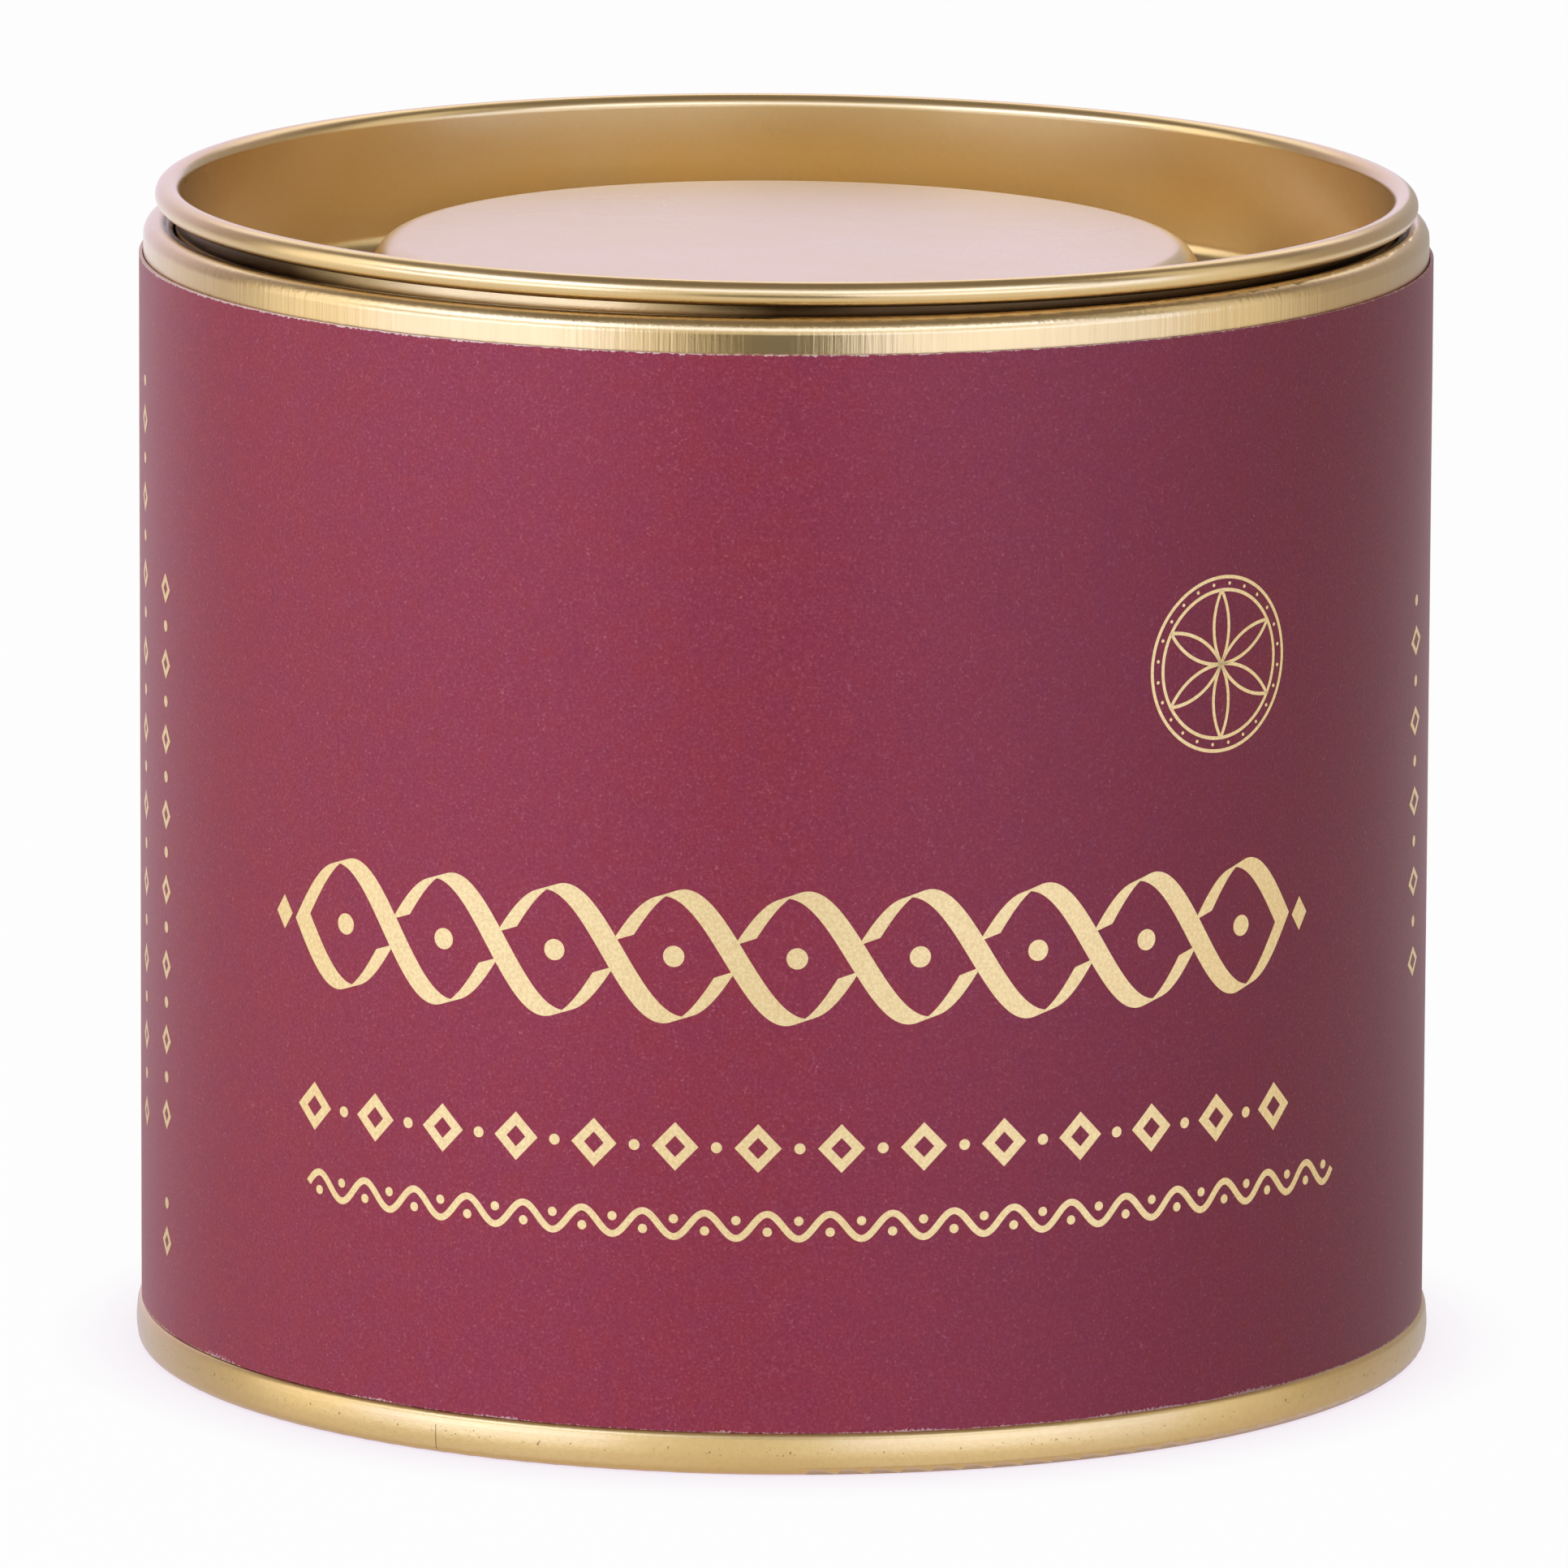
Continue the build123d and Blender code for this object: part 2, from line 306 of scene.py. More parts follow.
def uncoated_label_paper():
    """Uncoated label stock printed solid burgundy, die cut and rubbed along its edges by handling.

    The ink sinks in unevenly, so the tone drifts between crimson and plum, with paler and darker specks
    and curled fibres. White paper shows where the cut tore the ink and where the foot edge is scuffed.
    """
    material, tree = new_material("uncoated_label_paper")
    place = add_node(tree, "ShaderNodeTexCoord").outputs["Object"]
    blotches = add_node(
        tree,
        "ShaderNodeTexNoise",
        {"Vector": place, "Scale": 1 / (1.6 * MM), "Detail": 3.0, "Roughness": 0.6},
    )
    blotch_share = add_node(
        tree, "ShaderNodeMapRange", {"Value": blotches.outputs["Fac"], "From Min": 0.35, "From Max": 0.65}
    )
    ground = add_node(
        tree,
        "ShaderNodeMix",
        {0: blotch_share.outputs[0], 6: srgb("#97273A"), 7: srgb("#922642")},
        data_type="RGBA",
    )
    # Fibres 0.03 mm thick are drawn as specks 0.17 mm across and hairs 0.06 mm wide.
    specks = add_node(
        tree,
        "ShaderNodeTexNoise",
        {"Vector": place, "Scale": 1 / (0.17 * MM), "Detail": 2.0, "Roughness": 0.7},
    )
    pale_share = add_node(
        tree,
        "ShaderNodeMapRange",
        {"Value": specks.outputs["Fac"], "From Min": 0.5, "From Max": 0.75, "To Min": 0.0, "To Max": 0.6},
    )
    dark_share = add_node(
        tree,
        "ShaderNodeMapRange",
        {"Value": specks.outputs["Fac"], "From Min": 0.45, "From Max": 0.25, "To Min": 0.0, "To Max": 0.6},
    )
    paled = add_node(
        tree,
        "ShaderNodeMix",
        {0: pale_share.outputs[0], 6: ground.outputs[2], 7: srgb("#AA4C5E")},
        data_type="RGBA",
    )
    specked = add_node(
        tree,
        "ShaderNodeMix",
        {0: dark_share.outputs[0], 6: paled.outputs[2], 7: srgb("#681528")},
        data_type="RGBA",
    )
    curls = add_node(
        tree,
        "ShaderNodeTexNoise",
        {"Vector": place, "Scale": 1 / (0.8 * MM), "Detail": 2.0, "Distortion": 1.2},
    )
    curl = add_node(
        tree, "ShaderNodeMath", {0: curls.outputs["Fac"], 1: 0.5, 2: 0.012}, operation="COMPARE"
    )
    hair_share = add_node(
        tree, "ShaderNodeMath", {0: curl.outputs[0], 1: pale_share.outputs[0]}, operation="MULTIPLY"
    )
    haired = add_node(
        tree,
        "ShaderNodeMix",
        {0: hair_share.outputs[0], 6: specked.outputs[2], 7: srgb("#C98088")},
        data_type="RGBA",
    )

    height = add_node(tree, "ShaderNodeSeparateXYZ", {"Vector": place}).outputs["Z"]
    below_top = add_node(tree, "ShaderNodeMath", {0: label_high.z, 1: height}, operation="SUBTRACT")
    above_foot = add_node(tree, "ShaderNodeMath", {0: height, 1: label_foot}, operation="SUBTRACT")
    nicks = add_node(
        tree,
        "ShaderNodeTexNoise",
        {"Vector": place, "Scale": 1 / (0.35 * MM), "Detail": 3.0, "Roughness": 0.7},
    )
    nick_depth = add_node(
        tree,
        "ShaderNodeMapRange",
        {
            "Value": nicks.outputs["Fac"],
            "From Min": 0.45,
            "From Max": 0.75,
            "To Min": 0.02 * MM,
            "To Max": 0.17 * MM,
        },
    )
    torn = add_node(
        tree, "ShaderNodeMath", {0: below_top.outputs[0], 1: nick_depth.outputs[0]}, operation="LESS_THAN"
    )
    handled = add_node(tree, "ShaderNodeTexNoise", {"Vector": place, "Scale": 1 / (8 * MM), "Detail": 2.0})
    scuff_reach = add_node(
        tree,
        "ShaderNodeMapRange",
        {
            "Value": handled.outputs["Fac"],
            "From Min": 0.50,
            "From Max": 0.64,
            "To Min": 0.10 * MM,
            "To Max": 0.32 * MM,
        },
    )
    scuff_grit = add_node(
        tree, "ShaderNodeMapRange", {"Value": specks.outputs["Fac"], "From Min": 0.35, "From Max": 0.65}
    )
    scuff_depth = add_node(
        tree, "ShaderNodeMath", {0: scuff_reach.outputs[0], 1: scuff_grit.outputs[0]}, operation="MULTIPLY"
    )
    scuffed = add_node(
        tree, "ShaderNodeMath", {0: above_foot.outputs[0], 1: scuff_depth.outputs[0]}, operation="LESS_THAN"
    )
    scuff_share = add_node(tree, "ShaderNodeMath", {0: scuffed.outputs[0], 1: 0.6}, operation="MULTIPLY")
    bare_share = add_node(
        tree, "ShaderNodeMath", {0: torn.outputs[0], 1: scuff_share.outputs[0]}, operation="MAXIMUM"
    )
    paper = add_node(
        tree,
        "ShaderNodeMix",
        {0: bare_share.outputs[0], 6: haired.outputs[2], 7: srgb("#EBD2CC")},
        data_type="RGBA",
    )
    bump = add_node(
        tree,
        "ShaderNodeBump",
        {"Height": specks.outputs["Fac"], "Strength": 0.5, "Distance": 0.02 * MM},
    )
    sheet = add_node(
        tree,
        "ShaderNodeBsdfPrincipled",
        {
            "Base Color": paper.outputs[2],
            "Roughness": 0.44,
            "IOR": 1.4,
            "Normal": bump.outputs[0],
            "Sheen Weight": 0.7,
            "Sheen Roughness": 0.3,
            "Sheen Tint": srgb("#F2C8D0"),
        },
    )
    add_node(tree, "ShaderNodeOutputMaterial", {"Surface": sheet.outputs[0]})
    return material


def stamped_gold_foil():
    """Hot-stamped gold foil: vaporised aluminium under a tinted film, pressed on the rough paper.

    A warm satin metal, pitted where fibres stand up, with the film's paler gloss over it.
    """
    material, tree = new_material("stamped_gold_foil")
    place = add_node(tree, "ShaderNodeTexCoord").outputs["Object"]
    pits = add_node(
        tree,
        "ShaderNodeTexNoise",
        {"Vector": place, "Scale": 1 / (0.18 * MM), "Detail": 2.0, "Roughness": 0.6},
    )
    share = add_node(
        tree, "ShaderNodeMapRange", {"Value": pits.outputs["Fac"], "From Min": 0.3, "From Max": 0.7}
    )
    tone = add_node(
        tree,
        "ShaderNodeMix",
        {0: share.outputs[0], 6: srgb("#DDBA76"), 7: srgb("#EDD290")},
        data_type="RGBA",
    )
    bump = add_node(
        tree,
        "ShaderNodeBump",
        {"Height": pits.outputs["Fac"], "Strength": 0.4, "Distance": 0.01 * MM},
    )
    foil = add_node(
        tree,
        "ShaderNodeBsdfPrincipled",
        {
            "Base Color": tone.outputs[2],
            "Metallic": 1.0,
            "Roughness": 0.6,
            "Normal": bump.outputs[0],
            "Coat Weight": 1.0,
            "Coat Roughness": 0.35,
            "Coat IOR": 1.5,
        },
    )
    add_node(tree, "ShaderNodeOutputMaterial", {"Surface": foil.outputs[0]})
    return material


def soy_wax():
    """Soy wax, poured hot and set slowly: creamy, a little translucent, with faint frosting on its top."""
    material, tree = new_material("soy_wax")
    place = add_node(tree, "ShaderNodeTexCoord").outputs["Object"]
    frost = add_node(tree, "ShaderNodeTexNoise", {"Vector": place, "Scale": 1 / (7 * MM), "Detail": 6.0})
    share = add_node(
        tree, "ShaderNodeMapRange", {"Value": frost.outputs["Fac"], "From Min": 0.4, "From Max": 0.7}
    )
    tone = add_node(
        tree,
        "ShaderNodeMix",
        {0: share.outputs[0], 6: srgb("#F1E7D3"), 7: srgb("#F7F1E4")},
        data_type="RGBA",
    )
    grains = add_node(tree, "ShaderNodeTexNoise", {"Vector": place, "Scale": 1 / (0.8 * MM), "Detail": 3.0})
    bump = add_node(
        tree, "ShaderNodeBump", {"Height": grains.outputs["Fac"], "Strength": 0.3, "Distance": 0.05 * MM}
    )
    wax = add_node(
        tree,
        "ShaderNodeBsdfPrincipled",
        {
            "Base Color": tone.outputs[2],
            "Roughness": 0.42,
            "IOR": 1.44,
            "Normal": bump.outputs[0],
            "Subsurface Weight": 0.35,
            "Subsurface Radius": (1.0, 0.8, 0.55),
            "Subsurface Scale": 2 * MM,
        },
    )
    add_node(tree, "ShaderNodeOutputMaterial", {"Surface": wax.outputs[0]})
    return material


def braided_cotton():
    """Bleached cotton yarn, braided: matt and soft, with fine fibres along each strand."""
    material, tree = new_material("braided_cotton")
    place = add_node(tree, "ShaderNodeTexCoord").outputs["Object"]
    yarn = add_node(tree, "ShaderNodeTexNoise", {"Vector": place, "Scale": 1 / (0.12 * MM), "Detail": 2.0})
    tone = add_node(
        tree,
        "ShaderNodeMix",
        {0: yarn.outputs["Fac"], 6: srgb("#D8CFBE"), 7: srgb("#F7F2E8")},
        data_type="RGBA",
    )
    bump = add_node(
        tree, "ShaderNodeBump", {"Height": yarn.outputs["Fac"], "Strength": 0.6, "Distance": 0.04 * MM}
    )
    cotton = add_node(
        tree,
        "ShaderNodeBsdfPrincipled",
        {
            "Base Color": tone.outputs[2],
            "Roughness": 0.85,
            "Normal": bump.outputs[0],
            "Sheen Weight": 0.3,
            "Sheen Roughness": 0.5,
        },
    )
    add_node(tree, "ShaderNodeOutputMaterial", {"Surface": cotton.outputs[0]})
    return material


def plain_finish(name, light, dark, grain, metallic, roughness):
    """A hidden part's finish: two close tones in a fine grain, and a bump of the same grain."""
    material, tree = new_material(name)
    place = add_node(tree, "ShaderNodeTexCoord").outputs["Object"]
    fine = add_node(tree, "ShaderNodeTexNoise", {"Vector": place, "Scale": 1 / grain, "Detail": 3.0})
    tone = add_node(
        tree,
        "ShaderNodeMix",
        {0: fine.outputs["Fac"], 6: srgb(dark), 7: srgb(light)},
        data_type="RGBA",
    )
    bump = add_node(
        tree, "ShaderNodeBump", {"Height": fine.outputs["Fac"], "Strength": 0.4, "Distance": grain / 10}
    )
    shader = add_node(
        tree,
        "ShaderNodeBsdfPrincipled",
        {
            "Base Color": tone.outputs[2],
            "Metallic": metallic,
            "Roughness": roughness,
            "Normal": bump.outputs[0],
        },
    )
    add_node(tree, "ShaderNodeOutputMaterial", {"Surface": shader.outputs[0]})
    return material


# --- the lid --------------------------------------------------------------------------------------


def bend_sheet(corners, bends, sheet):
    """The section of a bent sheet: one face, rounded at its corners, then back along the other face.

    corners are that face's sharp corners, each a radius and a height. bends are its radii at all but
    the first and the last of them.
    """
    step_turn = radians(6)               # the most that one step of a bend turns
    tie = 0.03 * MM                      # a short step beside each bend keeps the flats' shading flat
    longest = 4.0 * MM                   # the longest step of a flat
    line = []
    left = None
    for index, corner in enumerate(corners[:-1]):
        ahead = (corners[index + 1] - corner).normalized()
        left_ahead = Vector((-ahead.y, ahead.x))
        if index == 0:
            line.append((corner, left_ahead))
            left = left_ahead
            continue
        turn = left.angle_signed(left_ahead)         # clockwise is positive
        bend = bends[index - 1]
        setback = bend * tan(abs(turn) / 2)
        side = -1 if turn > 0 else 1
        start = corner - Vector((left.y, -left.x)) * setback
        run = start - line[-1][0]
        if run.length > 4 * tie:
            steps = ceil(run.length / longest)
            stops = [tie] + [run.length * step / steps for step in range(1, steps)] + [run.length - tie]
            origin = line[-1][0]
            line += [(origin + run.normalized() * stop, left) for stop in stops]
        centre = start + left * bend * side
        steps = ceil(abs(turn) / step_turn)
        for step in range(steps + 1):
            facing = left.copy()
            facing.rotate(Matrix.Rotation(-turn * step / steps, 2))
            point = centre - facing * bend * side
            if (point - line[-1][0]).length > tie / 10:
                line.append((point, facing))
        left = left_ahead
    over = [point for point, facing in line]
    under = [point - facing * sheet for point, facing in line]
    return over + under[::-1]


def make_lid(material):
    """The pressed lid, spun from its section: raised centre, finger groove, plug wall and rolled rim.

    It has the sizes of the CAD solid, whose mesh is too coarse on the roll for a clean highlight.
    """
    cant = radians(0.35)                 # it sits a little higher on its -X side
    mouth_height = 66.1 * MM             # the middle of the mouth's roll, about which it is canted
    rim_top = 68.96 * MM
    roll = 0.73 * MM
    centre_bend = 1.80 * MM
    groove_bend = 1.20 * MM
    centre_radius = 23.5 * MM
    centre_top = rim_top - 3.25 * MM
    groove_floor = rim_top - 8.40 * MM
    flank = radians(60)
    flank_foot = centre_radius + (centre_top - groove_floor) / tan(flank)
    rim_radius = plug_radius + 2 * roll
    turns = 288
    corners = [
        Vector((0, centre_top)),
        Vector((centre_radius, centre_top)),
        Vector((flank_foot, groove_floor)),
        Vector((plug_radius, groove_floor)),
        Vector((plug_radius, rim_top)),
        Vector((rim_radius, rim_top)),
        Vector((rim_radius, rim_top - 2 * roll)),
        Vector((plug_radius + roll, rim_top - 2 * roll)),
    ]
    bends = [centre_bend, groove_bend, groove_bend, roll, roll, roll]
    bm = bmesh.new()
    section = [bm.verts.new((point.x, 0, point.y)) for point in bend_sheet(corners, bends, tin_sheet)]
    edges = [bm.edges.new(pair) for pair in zip(section, section[1:])]
    bmesh.ops.spin(
        bm,
        geom=section + edges,
        cent=(0, 0, 0),
        axis=(0, 0, 1),
        angle=2 * pi,
        steps=turns,
        use_merge=True,
    )
    bmesh.ops.remove_doubles(bm, verts=bm.verts[:], dist=0.001 * MM)
    bmesh.ops.recalc_face_normals(bm, faces=bm.faces[:])
    bmesh.ops.rotate(
        bm, cent=(0, 0, mouth_height), matrix=Matrix.Rotation(cant, 3, "Y"), verts=bm.verts[:]
    )
    lid = new_piece("pressed_lid", bm, material, "lid", 40)
    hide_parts("lid")


# --- the candle -----------------------------------------------------------------------------------


def make_wax(material):
    """The poured wax: a gently uneven top, a shallow dip at the wick and a meniscus at the wall."""
    skin = 0.02 * MM                     # keeps it clear of the tab, the foam disc and the wick
    step_foot = 32.05 * MM               # the base panel's raised middle, and the slope up to it
    rise = 0.90 * MM                     # the meniscus
    run = 4.0 * MM
    rings = 40
    turns = 160
    wave_height = 0.10 * MM
    long_wave = 11 * MM
    short_wave = 3 * MM
    calm = 3 * MM                        # the waves fade over this reach beside the wall
    dip_depth = 0.35 * MM
    dip_radius = 3.2 * MM
    top = wax_high.z - rise
    wall = wax_high.x
    bore = wick_high.x + skin
    neck = tab_high.z + skin
    tube = bore + 0.32 * MM              # round the tab's crimped neck
    fillet = 0.45 * MM
    plate = sticker_high.z + 0.34 * MM   # over the tab's plate
    neck_foot = sticker_high.z + 0.9 * MM
    bm = bmesh.new()
    section = []
    for ring in range(rings + 1):
        radius = bore + (wall - bore) * ring / rings
        creep = max(0.0, (radius - wall + run) / run)
        section.append((radius, top + rise * creep ** 3))
    section += [
        (wall, wax_low.z),
        (step_foot, wax_low.z),
        (step_foot, sticker_low.z + skin),
        (sticker_high.x + skin, sticker_low.z + skin),
        (sticker_high.x + skin, sticker_high.z - skin),
        (tab_high.x + skin, sticker_high.z - skin),
        (tab_high.x + skin, plate),
        (tube + fillet, plate),
        (tube, neck_foot),
        (tube, neck),
        (bore, neck),
    ]
    corners = [bm.verts.new((radius, 0, height)) for radius, height in section]
    edges = [bm.edges.new(pair) for pair in zip(corners, corners[1:] + corners[:1])]
    bmesh.ops.spin(
        bm,
        geom=corners + edges,
        cent=(0, 0, 0),
        axis=(0, 0, 1),
        angle=2 * pi,
        steps=turns,
        use_merge=True,
    )
    for vert in bm.verts:
        radius = vert.co.xy.length
        if vert.co.z > top - 0.01 * MM:
            quiet = min(1.0, max(0.0, (wall - radius) / calm))
            wave = noise.noise(vert.co / long_wave) + 0.3 * noise.noise(vert.co / short_wave)
            dip = dip_depth / (1 + (radius / dip_radius) ** 2)
            vert.co.z += quiet * (wave_height * wave - dip)
    bmesh.ops.recalc_face_normals(bm, faces=bm.faces[:])
    wax = new_piece("poured_wax", bm, material, "tin", 35)
    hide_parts("wax_fill")


def make_wick(material):
    """Three cotton strands plaited together, from the tab up through the wax."""
    strand = 0.42 * MM
    reach = wick_high.x - strand - 0.02 * MM
    pitch = 4.2 * MM
    flatness = 0.62                      # the plait's depth for its width
    tip = 0.75                           # the strands' spread at the upper end
    tip_length = 0.5 * MM                # over which they draw together
    steps_per_pitch = 14
    low = wick_low.z + strand
    high = wick_high.z - strand * 0.5
    steps = int((high - low) / pitch * steps_per_pitch)
    bm = bmesh.new()
    for number in range(3):
        path = bpy.data.curves.new("strand", "CURVE")
        path.dimensions = "3D"
        path.bevel_depth = strand
        path.bevel_resolution = 2
        path.resolution_u = 2
        path.use_fill_caps = True
        spline = path.splines.new("NURBS")
        spline.points.add(steps)
        for step in range(steps + 1):
            turn = 2 * pi * (step / steps_per_pitch + number / 3)
            height = low + (high - low) * step / steps
            spread = reach * min(1.0, tip + (1 - tip) * (high - height) / tip_length)
            spline.points[step].co = (spread * sin(turn), spread * flatness * sin(2 * turn), height, 1.0)
        spline.order_u = 3
        spline.use_endpoint_u = True
        holder = bpy.data.objects.new("strand", path)
        mesh = bpy.data.meshes.new_from_object(holder)
        bm.from_mesh(mesh)
        bpy.data.objects.remove(holder)
        bpy.data.curves.remove(path)
        bpy.data.meshes.remove(mesh)
    wick = new_piece("braided_wick", bm, material, "tin", 50)
    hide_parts("wick")


# --- the label and its ornament -------------------------------------------------------------------


def wrap_on_label(bm):
    """Bends flat work round the tin. x runs to the right from the front, y is height, z stands off.

    The glued paper dries with low, broad waves, and it was stuck on a hair lower at the right.
    """
    askew = 0.05 * MM
    swell = 0.012 * MM                   # the height of the waves
    swell_length = 12 * MM
    swells_round = 3.0                   # radius of the noise's circle, for waves as long round the tin
    for vert in bm.verts:
        turn = vert.co.x / label_radius
        around = Vector((cos(turn), sin(turn), 0)) * swells_round
        wave = noise.noise(around + Vector((0, 0, vert.co.y / swell_length)))
        radius = label_radius + vert.co.z + swell * wave
        vert.co = Vector((radius * sin(turn), -radius * cos(turn), vert.co.y - askew * sin(turn)))


def make_label(material):
    """One strip of paper, wrapped once round the wall, its end lapped over its start at the back."""
    lap = 6.0 * MM
    taper = 0.8 * MM
    columns = 900
    rows = 44
    gather = 1.6                         # draws the rows towards both cut edges
    fray = 0.03 * MM                     # how far a cut edge wanders
    fray_length = 0.45 * MM
    fray_fade = 40                       # keeps the fray to the outermost rows
    length = label_girth + lap
    middle = (label_foot + label_high.z) / 2
    bm = bmesh.new()
    bmesh.ops.create_grid(bm, x_segments=columns, y_segments=rows, size=1.0)
    for vert in bm.verts:
        across = vert.co.y
        side = 1 if across > 0 else -1
        gathered = 1 - (1 - abs(across)) ** gather
        run = (vert.co.x + 1) / 2 * length
        nearness = abs(across) ** fray_fade
        ragged = fray * (noise.noise(Vector((run / fray_length, across * 7, 0))) - side) * nearness
        vert.co = Vector((run, label_height / 2 * gathered * side + ragged, 0))
    bmesh.ops.solidify(bm, geom=bm.faces[:], thickness=paper_thickness - 0.01 * MM)
    top = max(vert.co.z for vert in bm.verts)
    start = label_girth / 2 - lap / 2
    for vert in bm.verts:
        run = vert.co.x
        climb = min(max((run - label_girth + taper) / taper, 0.0), 1.0)
        vert.co = Vector((start - run, vert.co.y + middle, vert.co.z + climb * paper_thickness - top))
    wrap_on_label(bm)
    bmesh.ops.recalc_face_normals(bm, faces=bm.faces[:])
    label = new_piece("label_wrap", bm, material, "tin", 40)
    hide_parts("paper_label")


def lay_ribbon(bm, path, nib=None, width=None, closed=False):
    """A flat stroke along path. Its nib is held at one slant, or the stroke keeps one width."""
    points = path + path[:1] if closed else path
    last = len(points) - 1
    strip = bmesh.ops.create_grid(bm, x_segments=last, y_segments=1, size=1.0)["verts"]
    for vert in strip:
        index = round((vert.co.x + 1) / 2 * last)
        before = points[index - 1] if index else points[last - 1 if closed else 0]
        after = points[index + 1] if index < last else points[1 if closed else last]
        heading = (after - before).normalized()
        half = nib / 2 if nib is not None else Vector((-heading.y, heading.x, 0)) * width / 2
        vert.co = points[index] + half * (1 if vert.co.y > 0 else -1)
    if closed:
        bmesh.ops.remove_doubles(bm, verts=strip, dist=0.001 * MM)


def lay_dot(bm, x, y, radius):
    """A small round spot."""
    bmesh.ops.create_circle(
        bm, cap_ends=True, segments=20, radius=radius, matrix=Matrix.Translation((x, y, 0))
    )


def lay_lozenge(bm, x, y, half_width, half_height, stroke=None):
    """A lozenge: solid, or an outline of that stroke."""
    place = Matrix.Translation((x, y, 0)) @ Matrix.Diagonal((half_width, half_height, 1, 1))
    made = bmesh.ops.create_circle(bm, cap_ends=True, segments=4, radius=1.0, matrix=place)
    face = made["verts"][0].link_faces[0]
    if stroke is not None:
        bmesh.ops.inset_individual(bm, faces=[face], thickness=stroke, use_even_offset=True)
        bmesh.ops.delete(bm, geom=[face], context="FACES_ONLY")


def stamp(name, bm, material):
    """Gives flat ornament the thickness of foil and presses it on the label."""
    foil = 0.03 * MM
    sunk = 0.012 * MM
    longest = 0.6 * MM
    bmesh.ops.recalc_face_normals(bm, faces=bm.faces[:])
    for face in bm.faces:
        if face.normal.z < 0:
            face.normal_flip()
    long_edges = [edge for edge in bm.edges if edge.calc_length() > longest]
    if long_edges:
        bmesh.ops.subdivide_edges(bm, edges=long_edges, cuts=2, use_grid_fill=True)
    bmesh.ops.triangulate(bm, faces=[face for face in bm.faces if len(face.verts) > 4])
    bmesh.ops.solidify(bm, geom=bm.faces[:], thickness=foil)
    top = max(vert.co.z for vert in bm.verts)
    for vert in bm.verts:
        vert.co.z += foil - sunk - top
    wrap_on_label(bm)
    bmesh.ops.recalc_face_normals(bm, faces=bm.faces[:])
    new_piece(name, bm, material, "tin", 30)


def stamp_guilloche(material):
    """The main band: two strands that cross over and under, with a spot in each eye."""
    left = -31.0 * MM
    right = 32.6 * MM
    middle = 30.2 * MM
    swing = 3.7 * MM
    eyes = 9
    nib = Vector((1.25 * MM, 0.42 * MM, 0))
    spot = 0.62 * MM
    end_gap = 1.6 * MM
    steps_per_eye = 36
    gap = 0.95 * MM                      # a strand that goes under stops this far from the middle
    eye = (right - left) / eyes
    bm = bmesh.new()
    for strand in (1, -1):
        run = []
        for step in range(eyes * steps_per_eye + 1):
            phase = pi * step / steps_per_eye
            point = Vector((left + eye * step / steps_per_eye, middle + strand * swing * sin(phase), 0))
            crossing = round(phase / pi)
            inside = 0 < crossing < eyes
            rising = strand * cos(phase) > 0
            if inside and rising and abs(point.y - middle) < gap:
                if len(run) > 1:
                    lay_ribbon(bm, run, nib=nib)
                run = []
            else:
                run.append(point)
        lay_ribbon(bm, run, nib=nib)
    for index in range(eyes):
        lay_dot(bm, left + eye * (index + 0.5), middle, spot)
    for x in (left - end_gap, right + end_gap):
        lay_lozenge(bm, x, middle, 0.7 * MM, 1.0 * MM)
    stamp("foil_guilloche", bm, material)


def stamp_lozenge_row(material):
    """The second band: open lozenges with a small spot between each two."""
    left = -30.0 * MM
    right = 32.0 * MM
    middle = 19.15 * MM
    half_width = 1.35 * MM
    half_height = 1.42 * MM
    stroke = 0.55 * MM
    spot = 0.32 * MM
    count = 14
    pitch = (right - left) / (count - 1)
    bm = bmesh.new()
    for index in range(count):
        x = left + index * pitch
        lay_lozenge(bm, x, middle, half_width, half_height, stroke)
        if index < count - 1:
            lay_dot(bm, x + pitch / 2, middle, spot)
    stamp("foil_lozenges", bm, material)


def stamp_festoon(material):
    """The third band: a fine running wave with a spot in each hollow."""
    left = -30.5 * MM
    right = 37.8 * MM
    middle = 14.6 * MM
    swing = 0.72 * MM
    line = 0.4 * MM
    spot = 0.27 * MM
    waves = 19
    steps = 24
    wave = (right - left) / waves
    bm = bmesh.new()
    path = []
    for step in range(waves * steps + 1):
        along = step / steps
        path.append(Vector((left + wave * along, middle + swing * sin(2 * pi * along), 0)))
    lay_ribbon(bm, path, width=line)
    for index in range(2 * waves):
        side = -1 if index % 2 == 0 else 1
        lay_dot(bm, left + wave * (index + 0.5) / 2, middle + side * 0.45 * swing, spot)
    stamp("foil_festoon", bm, material)


def stamp_rosette(material):
    """The small medallion: a six-petalled compass rosette in two rings."""
    centre = Vector((27.3 * MM, 45.7 * MM, 0))
    radius = 4.3 * MM
    border = 0.75 * MM                   # between the two rings
    line = 0.2 * MM
    spot = 0.1 * MM
    spots = 24
    sides = 96
    arc_steps = 32
    bm = bmesh.new()
    for ring in (radius, radius + border):
        circle = []
        for side in range(sides):
            turn = 2 * pi * side / sides
            circle.append(centre + Vector((cos(turn), sin(turn), 0)) * ring)
        lay_ribbon(bm, circle, width=line, closed=True)
    for petal in range(6):
        hub = pi / 3 * petal + pi / 6
        pivot = centre + Vector((cos(hub), sin(hub), 0)) * radius
        arc = []
        for step in range(arc_steps + 1):
            turn = hub + pi + radians(-60 + 120 * step / arc_steps)
            arc.append(pivot + Vector((cos(turn), sin(turn), 0)) * radius)
        lay_ribbon(bm, arc, width=line)
    for index in range(spots):
        turn = 2 * pi * (index + 0.5) / spots
        at = centre + Vector((cos(turn), sin(turn), 0)) * (radius + border / 2)
        lay_dot(bm, at.x, at.y, spot)
    stamp("foil_rosette", bm, material)


